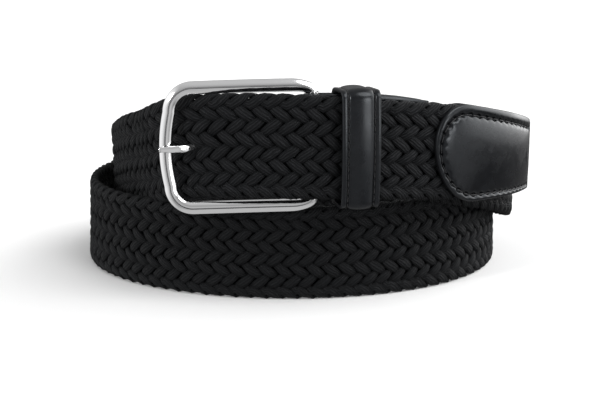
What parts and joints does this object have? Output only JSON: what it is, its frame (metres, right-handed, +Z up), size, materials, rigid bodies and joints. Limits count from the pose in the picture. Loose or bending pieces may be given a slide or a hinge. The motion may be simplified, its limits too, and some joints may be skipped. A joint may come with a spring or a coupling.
{
  "type": "braided cord belt",
  "caption": "Braided cord belt with a leather tip, tab and keeper and a slim polished frame buckle, fastened and coiled on its edge.",
  "frame": {"origin": "on the surface that the belt stands on, under the middle of its outer box", "axes": "+X to the right across the front of the coil, -Y out of the front, where the buckle is, and +Z up"},
  "size_m": [0.1758, 0.1574, 0.0786],
  "materials": {
    "braid_cord": "matt braided cord with fine lengthwise threads",
    "smooth_leather": "smooth, semi-gloss, stitched",
    "polished_metal": "polished"
  },
  "bodies": {
    "root": {"braided_strap": "braid_cord", "leather_tip": "smooth_leather", "leather_tab": "smooth_leather", "keeper_loop": "smooth_leather", "buckle_frame": "polished_metal", "buckle_prong": "polished_metal"}
  },
  "joints": []
}
